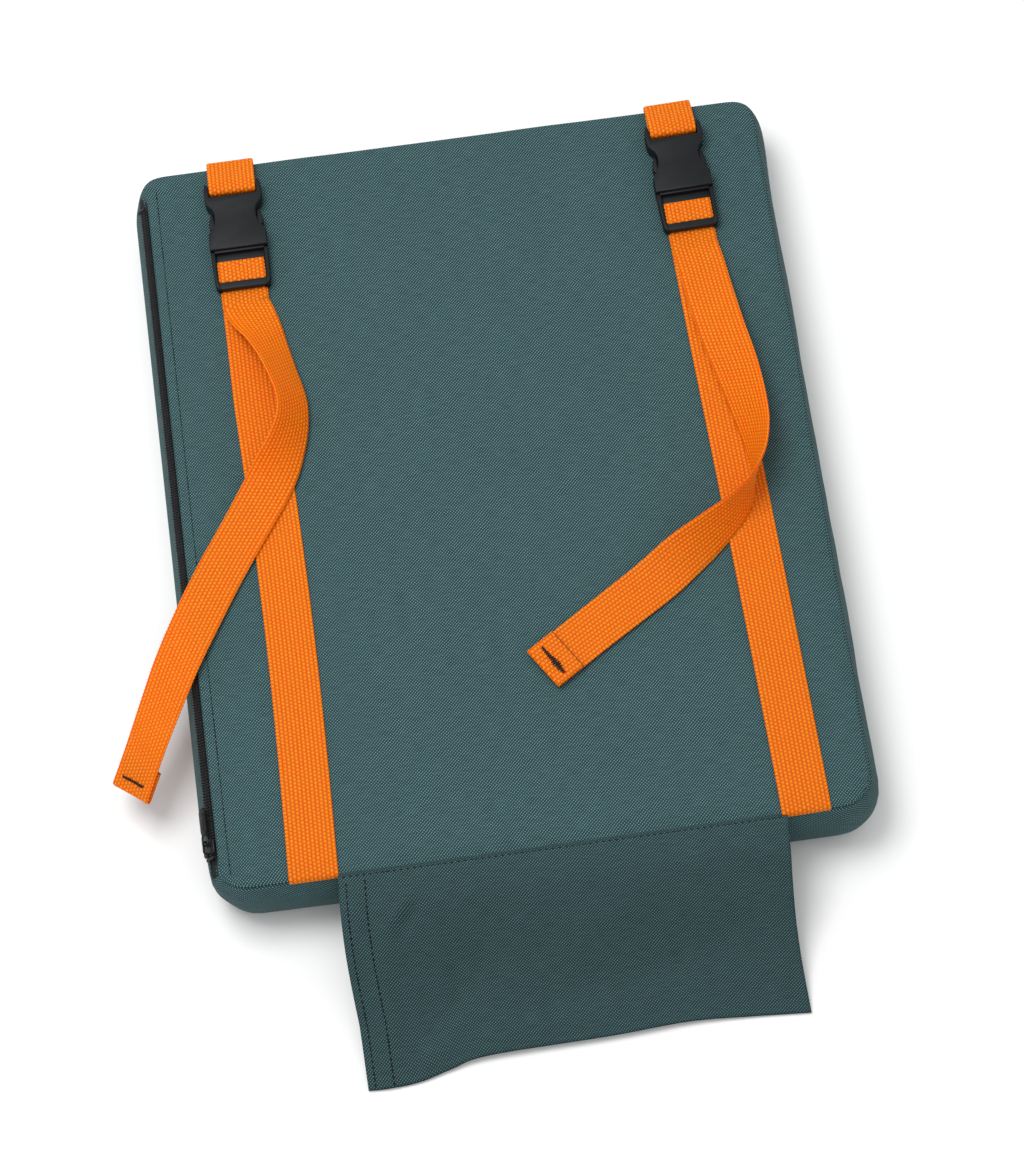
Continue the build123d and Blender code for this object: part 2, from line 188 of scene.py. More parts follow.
def rounded_path(corners, radii, steps=7):
    """Points along straight runs through the corners, each corner rounded by an arc-like bend."""
    corners = [np.array(c, float) for c in corners]
    path = [corners[0]]
    for before, corner, after, radius in zip(corners, corners[1:], corners[2:], radii):
        back = unit(before - corner)
        on = unit(after - corner)
        half_turn = np.arccos(np.clip(-back @ on, -1, 1)) / 2
        if half_turn < 0.01:
            path.append(corner)
            continue
        centre = corner + unit(back + on) * radius / np.cos(half_turn)
        start = corner + back * radius * np.tan(half_turn)
        out = start - centre
        for k in range(steps + 1):
            turn = 2 * half_turn * k / steps
            path.append(centre + out * np.cos(turn) + (-back) * np.linalg.norm(out) * np.sin(turn))
    path.append(corners[-1])
    return np.array(path)


def distances(path):
    """How far along a path each of its points is."""
    return np.concatenate([[0], np.cumsum(np.linalg.norm(np.diff(path, axis=0), axis=1))])


def resampled(path, step):
    """The same path with points about step apart, evenly spaced."""
    path = np.asarray(path, float)
    lengths = distances(path)
    count = max(int(round(lengths[-1] / step)), 1) + 1
    at = np.linspace(0, lengths[-1], count)
    return np.column_stack([np.interp(at, lengths, path[:, k]) for k in range(path.shape[1])])


def through(stations, step):
    """A smooth curve through the stations (Catmull-Rom), sampled about step apart."""
    stations = np.asarray(stations, float)
    padded = np.vstack([2 * stations[0] - stations[1], stations, 2 * stations[-1] - stations[-2]])
    points = []
    for a, b, c, d in zip(padded, padded[1:], padded[2:], padded[3:]):
        count = max(int(np.linalg.norm((c - b)[:3]) / step), 2)
        for k in range(count):
            t = k / count
            square, cube = 2 * a - 5 * b + 4 * c - d, 3 * b - a - 3 * c + d
            points.append(0.5 * (2 * b + (c - a) * t + square * t**2 + cube * t**3))
    points.append(stations[-1])
    return np.array(points)


def capsule_run(start, end, normal, radius=0.22, sides=6):
    """One stitch: a thread from start to end whose ends dip into the cloth."""
    start, end, normal = (np.array(v, float) for v in (start, end, normal))
    along = end - start
    length = np.linalg.norm(along)
    along /= length
    across = np.cross(normal, along)
    points = []
    for share, height in ((0, -0.9), (0.12, 0.35), (0.35, 1.0), (0.65, 1.0), (0.88, 0.35), (1, -0.9)):
        middle = start + along * length * share + normal * radius * height
        points.extend(middle + ring_offset(across, normal, radius, k, sides) for k in range(sides))
    return points, quad_grid(6, sides, closed=True)


def stitches(path, normals, pitch, gap, radius=0.22):
    """Thread stitches of the given pitch along a path that lies on cloth."""
    path = resampled(np.hstack([path, normals]), pitch)
    parts = []
    for a, b in zip(path, path[1:]):
        end = a[:3] + (b[:3] - a[:3]) * (1 - gap)
        parts.append(capsule_run(a[:3], end, unit(a[3:]), radius))
    return parts


# ---- materials

class Shade:
    """A material with short calls for adding nodes."""

    def __init__(self, name, **settings):
        self.material = bpy.data.materials.new(name)
        self.material.use_nodes = True
        self.tree = self.material.node_tree
        self.surface = self.tree.nodes["Principled BSDF"]
        for socket, value in settings.items():
            self.surface.inputs[socket.replace("_", " ")].default_value = value

    def node(self, kind, **settings):
        made = self.tree.nodes.new(kind)
        for key, value in settings.items():
            setattr(made, key, value)
        return made

    def link(self, source, target):
        self.tree.links.new(source, target)

    def filled(self, made, values):
        """The output of a node whose inputs are set to numbers or linked to other outputs."""
        for socket, value in zip(made.inputs, values):
            if isinstance(value, (int, float)):
                socket.default_value = value
            else:
                self.link(value, socket)
        return made.outputs[0]

    def math(self, operation, *values):
        return self.filled(self.node("ShaderNodeMath", operation=operation), values)

    def times(self, one, other):
        return self.math("MULTIPLY", one, other)

    def sine(self, value):
        return self.math("SINE", value)

    def uv(self):
        """The cloth's own coordinates, in millimetres."""
        split = self.node("ShaderNodeSeparateXYZ")
        self.link(self.node("ShaderNodeUVMap", uv_map="cloth").outputs[0], split.inputs[0])
        return split.outputs[0], split.outputs[1]

    def place(self):
        return self.node("ShaderNodeTexCoord").outputs["Object"]

    def noise(self, vector, scale, detail=2.0):
        made = self.node("ShaderNodeTexNoise")
        made.inputs["Scale"].default_value = scale
        made.inputs["Detail"].default_value = detail
        self.link(vector, made.inputs["Vector"])
        return made.outputs["Fac"]

    def vector(self, x, y, z=0.0):
        return self.filled(self.node("ShaderNodeCombineXYZ"), (x, y, z))

    def ramp(self, value, *stops):
        made = self.node("ShaderNodeValToRGB")
        elements = made.color_ramp.elements
        while len(elements) < len(stops):
            elements.new(0.5)
        for element, (position, colour) in zip(elements, stops):
            element.position = position
            element.color = (*colour, 1)
        self.link(value, made.inputs[0])
        return made.outputs[0]

    def tint(self, colour, amount):
        """The colour times a brightness."""
        made = self.node("ShaderNodeVectorMath", operation="SCALE")
        self.link(colour, made.inputs[0])
        self.link(amount, made.inputs["Scale"])
        return made.outputs[0]

    def colour(self, source):
        self.link(source, self.surface.inputs["Base Color"])

    def bump(self, height, distance, strength):
        made = self.node("ShaderNodeBump")
        made.inputs["Distance"].default_value = distance * MM
        made.inputs["Strength"].default_value = strength
        self.link(height, made.inputs["Height"])
        self.link(made.outputs[0], self.surface.inputs["Normal"])


CANVAS_PITCH = 0.85  # half of a repeat of the weave


def canvas(name, painted_shade_level=1.0):
    """Polyester canvas: pale yarn crowns over dark gaps, in slanting rows."""
    shade = Shade(name, Roughness=0.85, Specular_IOR_Level=0.15)
    u, v = shade.uv()
    drift = shade.noise(shade.vector(u, v), 0.045, 3.0)
    wobble = shade.times(shade.math("SUBTRACT", drift, 0.5), 2.0)
    u = shade.math("ADD", u, wobble)
    across = shade.sine(shade.times(u, pi / CANVAS_PITCH))
    along = shade.sine(shade.times(v, pi / CANVAS_PITCH))
    weave = shade.times(across, along)
    diagonal = shade.times(shade.math("SUBTRACT", u, v), pi / CANVAS_PITCH)
    slant = shade.times(shade.sine(diagonal), 0.25)
    crowns = shade.math("ADD", shade.times(weave, 0.37), slant)
    colour = shade.ramp(
        shade.math("ADD", crowns, 0.5),
        (0.05, (0.026, 0.068, 0.074)),
        (0.36, (0.005, 0.018, 0.023)),
        (0.60, (0.027, 0.066, 0.071)),
        (0.95, (0.158, 0.270, 0.278)),
    )
    yarns = shade.noise(shade.vector(shade.times(u, 0.12), v), 1.1, 1.0)
    patches = shade.noise(shade.vector(u, v), 0.02, 2.0)
    # A level below 1 darkens the whole canvas: painted shade, which the pocket's canvas takes.
    level = shade.times(shade.math("MULTIPLY_ADD", yarns, 0.7, 0.65), painted_shade_level)
    level = shade.times(level, shade.math("MULTIPLY_ADD", patches, 0.12, 0.94))
    shade.colour(shade.tint(colour, level))
    shade.bump(shade.math("ABSOLUTE", weave), 0.12, 0.5)
    return shade.material


# Spacing of the webbing's crowns across it and along it
WEB_COLUMN = 2.083
WEB_ROW = 2.0


def webbing():
    """Orange polypropylene webbing: staggered columns of pale yarn crowns."""
    shade = Shade(
        "webbing",
        Roughness=0.55,
        Specular_IOR_Level=0.12,
        Subsurface_Weight=0.6,
        Subsurface_Scale=1.0,
        Subsurface_Radius=(0.005, 0.0006, 0.0002),
    )
    u, v = shade.uv()
    column = shade.times(u, 1 / WEB_COLUMN)
    odd = shade.math("MODULO", shade.math("FLOOR", shade.math("ADD", column, 100)), 2)
    row = shade.math("MULTIPLY_ADD", odd, 0.5, shade.times(v, 1 / WEB_ROW))
    across = shade.sine(shade.times(shade.math("FRACT", column), pi))
    along = shade.sine(shade.times(shade.math("FRACT", row), pi))
    crown = shade.times(shade.math("POWER", across, 0.8), shade.math("POWER", along, 0.55))
    colour = shade.ramp(
        crown,
        (0.0, (0.60, 0.062, 0.001)),
        (0.35, (0.76, 0.135, 0.002)),
        (0.78, (0.85, 0.190, 0.003)),
        (1.0, (0.93, 0.300, 0.014)),
    )
    mottle = shade.noise(shade.vector(u, v), 0.6, 2.0)
    shade.colour(shade.tint(colour, shade.math("MULTIPLY_ADD", mottle, 0.2, 0.9)))
    shade.bump(crown, 0.35, 0.8)
    return shade.material


def moulded(name, colour, roughness, grain=0.05):
    """Matt injection-moulded plastic with a faint grain."""
    shade = Shade(name, Roughness=roughness, Specular_IOR_Level=0.18)
    clouds = shade.noise(shade.place(), 260, 3.0)
    dark = tuple(c * 0.8 for c in colour)
    shade.colour(shade.ramp(clouds, (0.3, dark), (0.7, colour)))
    shade.bump(shade.noise(shade.place(), 2600, 2.0), grain, 0.35)
    return shade.material


def thread(name, colour):
    """Twisted sewing thread."""
    shade = Shade(name, Roughness=0.7, Specular_IOR_Level=0.2)
    twist = shade.noise(shade.place(), 2200, 1.0)
    shade.colour(shade.ramp(twist, (0.3, tuple(c * 0.55 for c in colour)), (0.7, colour)))
    return shade.material


def woven_tape():
    """Black zipper tape with a fine herringbone rib."""
    shade = Shade("zipper_tape", Roughness=0.8, Specular_IOR_Level=0.2)
    u, v = shade.uv()
    chevrons = shade.math("ADD", v, shade.math("ABSOLUTE", u))
    ribs = shade.sine(shade.times(chevrons, 2 * pi / 0.9))
    level = shade.math("MULTIPLY_ADD", ribs, 0.5, 0.5)
    shade.colour(shade.ramp(level, (0.2, (0.006,) * 3), (0.9, (0.024,) * 3)))
    shade.bump(ribs, 0.1, 0.5)
    return shade.material


def painted_metal():
    """Black lacquered zipper metal, worn a little paler in places."""
    shade = Shade("zipper_metal", Metallic=0.0, Roughness=0.3, Specular_IOR_Level=0.14)
    wear = shade.noise(shade.place(), 900, 3.0)
    shade.colour(shade.ramp(wear, (0.5, (0.005, 0.0053, 0.0056)), (0.85, (0.03, 0.03, 0.031))))
    return shade.material


# ---- the cover

HALF_WIDTH, HALF_LENGTH, TOP = size_of("face_panel")[1]
CORNER = 16.0
BACK_CORNER = 3.6  # power of the outline's curve there: 2 is round, more is squarer
SEAM_TOP = TOP - 1.6
SEAM_FOOT = 1.4
BULGE = size_of("boxing_right")[1][0] - HALF_WIDTH + 2.4
EDGE_ROUND = 11.0  # width of the rounded edge of the face
BACK_STRETCH = 1.2  # how far the filled cover pushes its back edge out
ZIP_HALF = size_of("zipper_tape_upper")[1][1]
ZIP_REACH = 30.0  # width of the face that the zipper pulls level
ZIP_SHIFT = 2.0  # how far the face's left edge stands in, to meet the zipper band
FRONT_TUCK = 2.4  # how far the left wall is drawn in towards its front end

# The zipper band in the XZ plane: its middle, and the directions down it and out of it
BAND_TOP = np.array((-163.0, 49.0))
BAND_FOOT = np.array((-168.0, 42.6))
BAND_MIDDLE = (BAND_TOP + BAND_FOOT) / 2
BAND_DOWN = unit(BAND_FOOT - BAND_TOP)
BAND_OUT = np.array((BAND_DOWN[1], -BAND_DOWN[0]))
COIL_HEIGHT = 1.8
LIP = 3.9  # from the band's middle to the fold on either side


def on_band(down, out):
    """The (x, z) of a point on the zipper band."""
    return BAND_MIDDLE + BAND_DOWN * down + BAND_OUT * out


def left_profile(t):
    """The zipper side's section from the face's fold (t = 0) to the foot seam (t = 1)."""
    knots = (0.0, 0.03, 0.06, 0.08, 0.16, 0.18, 0.21, 0.25)
    downs = (-4.9, -4.2, -LIP - 0.1, -LIP, LIP, LIP + 0.1, 4.2, 5.0)
    outs = (0.25, 0.62, 0.5, -0.75, -0.75, 0.45, 0.62, 0.2)
    if t <= knots[-1]:
        return on_band(np.interp(t, knots, downs), np.interp(t, knots, outs))
    x, z = on_band(downs[-1], outs[-1])
    s = (t - knots[-1]) / (1 - knots[-1])
    return x + (-HALF_WIDTH - x) * s - BULGE * 3.2 * s * (1 - s), z + (SEAM_FOOT - z) * s


def wall_offset(t):
    """How far a side wall stands out at t, from the face seam (0) to the foot seam (1)."""
    pinch = 0.9 * np.exp(-(((t - 0.035) / 0.016) ** 2)) + 0.7 * np.exp(-(((1 - t - 0.03) / 0.02) ** 2))
    roll = 0.5 * np.exp(-((t / 0.02) ** 2))
    return BULGE * (4 * t * (1 - t)) ** 0.8 - pinch + roll


WRINKLES = (
    # x, y, heading in degrees, half length, half width, height
    (143, -176, 38, 26, 5.0, 0.7),
    (130, -186, 28, 24, 4.0, -0.6),
    (152, -160, 52, 22, 5.0, -0.5),
    (118, -178, 22, 30, 7.0, 0.4),
    (148, 176, -40, 18, 5.0, 0.5),
    (132, 187, -15, 22, 4.0, -0.4),
    (-138, -182, -20, 24, 5.0, 0.5),
    (-120, -190, -8, 26, 5.0, -0.4),
    (-150, 180, 30, 18, 5.0, 0.4),
    (20, -193, 3, 60, 5.0, 0.35),
    (-30, 192, -2, 70, 6.0, 0.3),
)


def creases(x, y, table):
    """Height of the soft folds of a table at a point."""
    total = 0.0
    for wx, wy, heading, half, width, height in table:
        c, s = cos(radians(heading)), sin(radians(heading))
        along = ((x - wx) * c + (y - wy) * s) / half
        across = (-(x - wx) * s + (y - wy) * c) / width
        total += height * np.exp(-(along**2) - across**2)
    return total


def unevenness(x, y):
    """The face's soft unevenness: slow waves and the pulls at its corners."""
    slow = noise.noise((x / 70, y / 90, 0.4)) * 0.55 + noise.noise((x / 26, y / 30, 3.1)) * 0.16
    return slow + creases(x, y, WRINKLES)


def spaced(half, step):
    """Positions from -half to half, close together near both ends."""
    edge = np.array([0, 0.5, 1.1, 2.0, 3.4, 5.4, 8.0, 11.5, CORNER])
    inner = half - CORNER
    middle = np.linspace(-inner, inner, int(2 * inner / step) + 1)[1:-1]
    return np.concatenate([-half + edge, middle, (half - edge)[::-1]])


def corner_power(y):
    """How square the outline's corner is: round at the front."""
    return BACK_CORNER if y > 0 else 2.0


def onto_corner(x, y):
    """Moves a point of the square grid onto the rounded outline, with its inset from the edge."""
    px, py = abs(x) - (HALF_WIDTH - CORNER), abs(y) - (HALF_LENGTH - CORNER)
    if px <= 0 or py <= 0:
        return x, y, min(CORNER - px, CORNER - py)
    power = corner_power(y)
    scale = max(px, py) / (px**power + py**power) ** (1 / power)
    x = np.sign(x) * (HALF_WIDTH - CORNER + px * scale)
    y = np.sign(y) * (HALF_LENGTH - CORNER + py * scale)
    return x, y, CORNER - max(px, py)


def outward(x, y):
    """The outline's direction outwards at a point on it."""
    px, py = abs(x) - (HALF_WIDTH - CORNER), abs(y) - (HALF_LENGTH - CORNER)
    if px > 1e-6 and py > 1e-6:
        rise = corner_power(y) - 1
        return unit(np.array((np.sign(x) * px**rise, np.sign(y) * py**rise)))
    if px >= py:
        return np.array((np.sign(x), 0.0))
    return np.array((0.0, np.sign(y)))


def zip_share(y):
    """1 where the left wall carries the zipper, 0 past its ends."""
    return float(smooth_step((HALF_LENGTH - 3.0 - abs(y)) / 13.0))


def zip_pull(x, y):
    """How much of the zipper's hold on the face is felt at a point, from 0 to 1."""
    return float(smooth_step((-HALF_WIDTH + ZIP_REACH - x) / ZIP_REACH)) * zip_share(y)


def top_height(x, y, inset):
    """Height of the face at a point whose distance from the outline is inset."""
    near = max(1 - inset / EDGE_ROUND, 0)
    drop = TOP - SEAM_TOP
    drop += (0.45 - drop) * zip_pull(x, y)
    hill = unevenness(x, y) * float(smooth_step(inset / 6)) * 0.8
    return TOP - 0.15 - drop * near**2 + hill


def cover_point(x, y, t, side):
    """One vertex of the cover. side is top, wall or foot."""
    x, y, inset = onto_corner(x, y)
    y += BACK_STRETCH * max(y / HALF_LENGTH, 0) ** 6
    if side == "top":
        return x + ZIP_SHIFT * zip_pull(x, y), y, min(top_height(x, y, inset), TOP + 0.05)
    if side == "foot":
        near = max(1 - inset / 10, 0)
        return x, y, SEAM_FOOT * near**1.5
    way = outward(x, y)
    swell = 0.95 + 0.25 * noise.noise((x / 60, y / 60, t * 2))
    reach = wall_offset(t) * swell
    reach += 0.5 * noise.noise((x / 22, y / 22, t * 5)) * (4 * t * (1 - t))
    px, py = x + way[0] * reach, y + way[1] * reach
    edge_top = top_height(x, y, 0)
    pz = edge_top + (SEAM_FOOT - edge_top) * t
    share = zip_share(y) if x < -HALF_WIDTH + CORNER else 0.0
    if share:
        lx, lz = left_profile(t)
        px, pz = px + (lx - px) * share, pz + (lz - pz) * share
    if x < 0:
        px += FRONT_TUCK * float(smooth_step((-y - 150) / 45) * smooth_step((t - 0.22) / 0.2))
    return px, py, pz


def cover():
    """The closed canvas cover: face, side walls and underside in one skin."""
    xs, ys = spaced(HALF_WIDTH, 4.0), spaced(HALF_LENGTH, 4.0)
    zip_rows = [0.015, 0.03, 0.045, 0.06, 0.07, 0.08, 0.12, 0.16, 0.17, 0.18, 0.195, 0.21, 0.23, 0.25]
    # the heights of the wall's rows, as shares of the way down
    ts = np.array([0, *zip_rows, *np.linspace(0.3, 0.9, 10), 0.93, 0.955, 0.97, 0.985, 1])
    last_x, last_y, last_t = len(xs) - 1, len(ys) - 1, len(ts) - 1
    points, index = [], {}

    def vertex(i, j, k):
        key = (i, j, k)
        if key not in index:
            side = "top" if k == 0 else "foot" if k == last_t else "wall"
            index[key] = len(points)
            points.append(cover_point(xs[i], ys[j], ts[k], side))
        return index[key]

    faces, uv = [], []

    def face(corners, flat):
        faces.append([vertex(*c) for c in corners])
        uv.extend(flat(*c) for c in corners)

    for i in range(last_x):
        for j in range(last_y):
            up = [(i, j, 0), (i + 1, j, 0), (i + 1, j + 1, 0), (i, j + 1, 0)]
            down = [(i, j, last_t), (i, j + 1, last_t), (i + 1, j + 1, last_t), (i + 1, j, last_t)]
            for corners in (up, down):
                face(corners, lambda a, b, c: onto_corner(xs[a], ys[b])[:2])
    for k in range(last_t):
        for i in range(last_x):
            for j, turn in ((0, 1), (last_y, -1)):
                corners = [(i, j, k), (i, j, k + 1), (i + 1, j, k + 1), (i + 1, j, k)]
                face(corners[::turn], lambda a, b, c: (xs[a], ts[c] * TOP))
        for j in range(last_y):
            for i, turn in ((0, -1), (last_x, 1)):
                corners = [(i, j, k), (i, j, k + 1), (i, j + 1, k + 1), (i, j + 1, k)]
                face(corners[::turn], lambda a, b, c: (ts[c] * TOP, ys[b]))
    skin = mesh_object("cover", points, faces, canvas("canvas"), crease=50, uv=uv)
    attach(skin, "cover")
    walls = [f"boxing_{side}" for side in ("front", "back", "left", "right")]
    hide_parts("face_panel", "base_panel", "foam_core", *walls)


def surface_height(x, y):
    """Height of the cover's face above the ground."""
    return min(top_height(*onto_corner(x, y)), TOP + 0.05)


def face_path(start, end, count=120):
    """Points of a straight line over the face, and their upward normals."""
    a, b = np.array(start, float), np.array(end, float)
    line = a + (b - a) * np.linspace(0, 1, count)[:, None]
    path = np.array([(x, y, surface_height(x, y)) for x, y in line])
    return path, np.tile((0.0, 0.0, 1.0), (count, 1))


def cover_seams():
    """Topstitching beside the zipper, and the thread that shows in the face's seam."""
    parts = []
    beside, end = BAND_TOP[0] + 5, ZIP_HALF + 9
    parts += stitches(*face_path((beside, -end), (beside, end)), 3.0, 0.18)
    square = [
        (BAND_TOP[0], -HALF_LENGTH, 0),
        (HALF_WIDTH, -HALF_LENGTH, 0),
        (HALF_WIDTH, HALF_LENGTH, 0),
        (BAND_TOP[0], HALF_LENGTH, 0),
    ]
    rim = [(*onto_corner(x, y)[:2], 0) for x, y, _ in resampled(np.array(square, float), 1.0)]
    rim = resampled(np.array(rim), 4.0)
    seam, normals = [], []
    for x, y, _ in rim:
        way = outward(x, y)
        reach = wall_offset(0.03) + 0.12
        seam.append((x + way[0] * reach, y + way[1] * reach, SEAM_TOP - 1.5))
        normals.append((way[0], way[1], 0.5))
    parts += stitches(np.array(seam), np.array(normals), 3.2, 0.3, 0.2)
    thing = mesh_object("cover_stitches", *joined(parts), thread("dark_thread", (0.008, 0.014, 0.014)))
    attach(thing, "cover")


# ---- the zipper

def to_world(down, out):
    """A direction given down and out of the band, as a world direction."""
    way = BAND_DOWN * down + BAND_OUT * out
    return np.array((way[0], 0.0, way[1]))


TOOTH_PITCH = 1.5
TOOTH = (
    # down the band, out of it, and the wire's radius, from the slit round the head and back
    (0.25, 0.5, 0.46),
    (0.15, 1.15, 0.52),
    (0.7, 1.62, 0.46),
    (1.7, 1.6, 0.42),
    (2.5, 1.25, 0.42),
    (2.75, 0.55, 0.42),
    (2.5, 0.1, 0.36),
)


def coil(name, side, material):
    """One half of the nylon coil: a close row of bent loops whose heads meet in the middle."""
    parts = []
    offset = 0 if side < 0 else TOOTH_PITCH / 2
    middle = np.array((BAND_MIDDLE[0], 0, BAND_MIDDLE[1]))
    along, rise = np.array((0, 1.0, 0)), 0.8 * to_world(0, 1)
    for k in range(int((2 * ZIP_HALF - 1) / TOOTH_PITCH)):
        y = -ZIP_HALF + 0.6 + offset + k * TOOTH_PITCH
        rings = []
        for step, (down, out, radius) in enumerate(TOOTH):
            place = middle + to_world(side * down, out) + along * (y + 0.12 * step)
            rings.extend(place + ring_offset(along, rise, radius, turn, 6) for turn in range(6))
        parts.append((rings, quad_grid(len(TOOTH), 6, closed=True)))
    half = mesh_object(name, *joined(parts), material)
    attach(half, "cover")
    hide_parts(name.replace("visual_", ""))


def tape(name, side, material):
    """One woven tape of the zipper, a thin strip from the slit to under the fold."""
    points, uv_points = [], []
    downs = (0.5, 0.7, 1.5, 2.8, 4.1)
    ys = np.linspace(-ZIP_HALF - 8, ZIP_HALF + 8, 130)
    for y in ys:
        for down in downs:
            x, z = on_band(side * down, -0.35)
            points.append((x, y, z))
            uv_points.append((side * down, y))
    faces = quad_grid(len(ys), len(downs))
    if side < 0:
        faces = [f[::-1] for f in faces]
    uv = [uv_points[i] for f in faces for i in f]
    strip = mesh_object(name, points, faces, material, uv=uv)
    thicken = strip.modifiers.new("thickness", "SOLIDIFY")
    thicken.thickness = 0.3 * MM
    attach(strip, "cover")
    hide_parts(name.replace("visual_", ""))


def taken(mesh):
    """The points and faces of a bmesh, which is freed."""
    mesh.verts.index_update()
    points = [tuple(v.co) for v in mesh.verts]
    faces = [[v.index for v in f.verts] for f in mesh.faces]
    mesh.free()
    return points, faces


def block(low, high, bevel, segments=2):
    """A box with rounded edges, as (points, faces)."""
    mesh = bmesh.new()
    bmesh.ops.create_cube(mesh, size=1)
    low, high = np.array(low, float), np.array(high, float)
    for vertex in mesh.verts:
        vertex.co = Vector((low + high) / 2 + np.array(vertex.co) * (high - low))
    rims = mesh.edges[:]
    bmesh.ops.bevel(mesh, geom=rims, offset=bevel, segments=segments, profile=0.6, affect="EDGES")
    return taken(mesh)


def placed(shape, origin, along, across, up):
    """Moves (points, faces) so that its x, y and z run across, along and up from the origin."""
    points, faces = shape
    points = np.asarray(points, float)
    moved = np.array(origin) + points @ np.array([across, along, up])
    flip = np.dot(np.cross(across, along), up) < 0
    return moved, [tuple(f)[::-1] for f in faces] if flip else faces


def tube(path, radius, sides=10):
    """A round rod along a path, closed at both ends."""
    path = np.asarray(path, float)
    heading = headings(path)
    side = unit(np.cross(heading[0], (0.3, 0.2, 0.9)))
    points = []
    for middle, ahead in zip(path, heading):
        side = unit(side - ahead * (side @ ahead))
        up = np.cross(ahead, side)
        points.extend(middle + ring_offset(side, up, radius, k, sides) for k in range(sides))
    return points, capped(quad_grid(len(path), sides, closed=True), len(path), sides)


SLIDER_Y = float(sum(size_of("zipper_slider"))[1] / 2)
SLIDER_TOP = COIL_HEIGHT + 0.4
PIVOT_AHEAD = 1.4
PIVOT_HEIGHT = SLIDER_TOP + 2.1


def mirrored(points):
    """A closed outline from the right-hand half, listed from front to back."""
    return [*points, *[(-x, y) for x, y in points[::-1] if abs(x) > 1e-6]]


def plate(outline, low, high, bevel):
    """A flat plate of the given outline, with softened rims."""
    mesh = bmesh.new()
    rim = [mesh.verts.new((x, y, low)) for x, y in outline]
    floor = mesh.faces.new(rim)
    raised = bmesh.ops.extrude_face_region(mesh, geom=[floor])
    lifted = [v for v in raised["geom"] if isinstance(v, bmesh.types.BMVert)]
    bmesh.ops.translate(mesh, verts=lifted, vec=(0, 0, high - low))
    bmesh.ops.recalc_face_normals(mesh, faces=mesh.faces[:])
    rims = [e for e in mesh.edges if abs(e.verts[0].co.z - e.verts[1].co.z) < 1e-6]
    bmesh.ops.bevel(mesh, geom=rims, offset=bevel, segments=3, profile=0.5, affect="EDGES")
    return taken(mesh)


def slider(metal):
    """Cast slider: waisted plates, side flanges, the bridge and the pull tab that hangs on it."""
    across, along, up = to_world(1, 0), np.array((0, 1.0, 0)), to_world(0, 1)
    origin = np.array((BAND_MIDDLE[0], SLIDER_Y, BAND_MIDDLE[1]))
    # the two shoulders are at the open end (towards -Y)
    outline = mirrored(
        [(0.6, -3.7), (1.2, -4.4), (3.4, -4.4), (4.2, -3.2), (4.1, -1.0), (3.5, 2.5), (3.0, 4.4)]
    )
    parts = [
        plate(outline, SLIDER_TOP, SLIDER_TOP + 1.0, 0.3),
        block((-0.4, -2.0, -2.4), (0.4, 1.5, SLIDER_TOP + 0.2), 0.1),
        plate(outline, -2.7, -1.7, 0.3),
    ]
    for side in (-1, 1):
        flange = ((3.6, 3.4), (3.8, -1.0), (3.7, -3.4))
        parts.append(tube([(side * x, y, SLIDER_TOP - 0.1) for x, y in flange], 0.55))
    base = SLIDER_TOP + 0.8
    bridge = rounded_path(
        [(0, -3.2, base), (0, -3.0, base + 2.7), (0, 3.2, base + 2.5), (0, 3.2, base)], [1.2, 1.0]
    )
    parts.append(tube(bridge, 0.55))
    body = [placed(part, origin, along, across, up) for part in parts]
    thing = mesh_object("slider_detail", *joined(body), metal, crease=35)
    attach(thing, "slider")
    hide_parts("zipper_slider")

    pivot = origin + along * PIVOT_AHEAD + up * PIVOT_HEIGHT
    eye = rounded_path(
        [(0.3, -0.1, 0), (2.2, 0, 0), (2.2, 5.4, 0), (-2.2, 5.4, 0), (-2.2, 0, 0), (-0.3, -0.1, 0)],
        [0.9, 1.6, 1.6, 0.9],
    )
    tab = mirrored([(1.7, 4.8), (2.5, 7.5), (2.6, 17.6), (1.4, 19.6)])
    inset = [(x * 0.62, 8.2 + (y - 4.8) * 0.6) for x, y in tab]
    parts = [tube(eye, 0.5), plate(tab, -0.55, 0.55, 0.25), plate(inset, 0.4, 0.75, 0.15)]
    body = [placed(part, pivot, along, across, up) for part in parts]
    pull = mesh_object("pull_detail", *joined(body), metal, crease=35)
    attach(pull, "pull")
    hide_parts("zipper_pull")


def zipper():
    """Both halves of the chain, the slider with its pull, and the stops."""
    nylon = moulded("coil_nylon", (0.022, 0.022, 0.024), 0.3)
    cloth = woven_tape()
    metal = painted_metal()
    for name, side in (("upper", -1), ("lower", 1)):
        coil(f"visual_zipper_coil_{name}", side, nylon)
        tape(f"visual_zipper_tape_{name}", side, cloth)
    slider(metal)
    for stop in ("zipper_top_stop", "zipper_bottom_stop"):
        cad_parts[stop].data.materials.clear()
        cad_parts[stop].data.materials.append(metal)


# ---- webbing

WEB_WIDTH = 25.0
WEB = 1.3
WEB_GAP = 0.1
# Each strap line: its name, x where it crosses y = 0, and its turn about Z in degrees
STRAPS = (("left", -117.0, 0.0), ("right", 125.8, 1.5))
RUN_BOW = {"left": 2.4, "right": 0.4}  # how far the run along the face bows sideways
TAIL_START = 118.0
FOLD_LENGTH = 16.0
FOLD_GAP = 0.5
FOLD_SIDE = {"left": -1, "right": 1}  # folded under or over
FOLD_SLIP = 0.5  # how far the left fold's layers are out of line
MIDDLE_BAR = (131.3, 140.6, 53.0, 56.4)  # y and z of the plug's bar that holds the strap
LOOP_SLOT = (179.5, 183.0)
LOOP_BAR_END = 186.4
LOOP_BAR_Z = (52.5, 57.5)
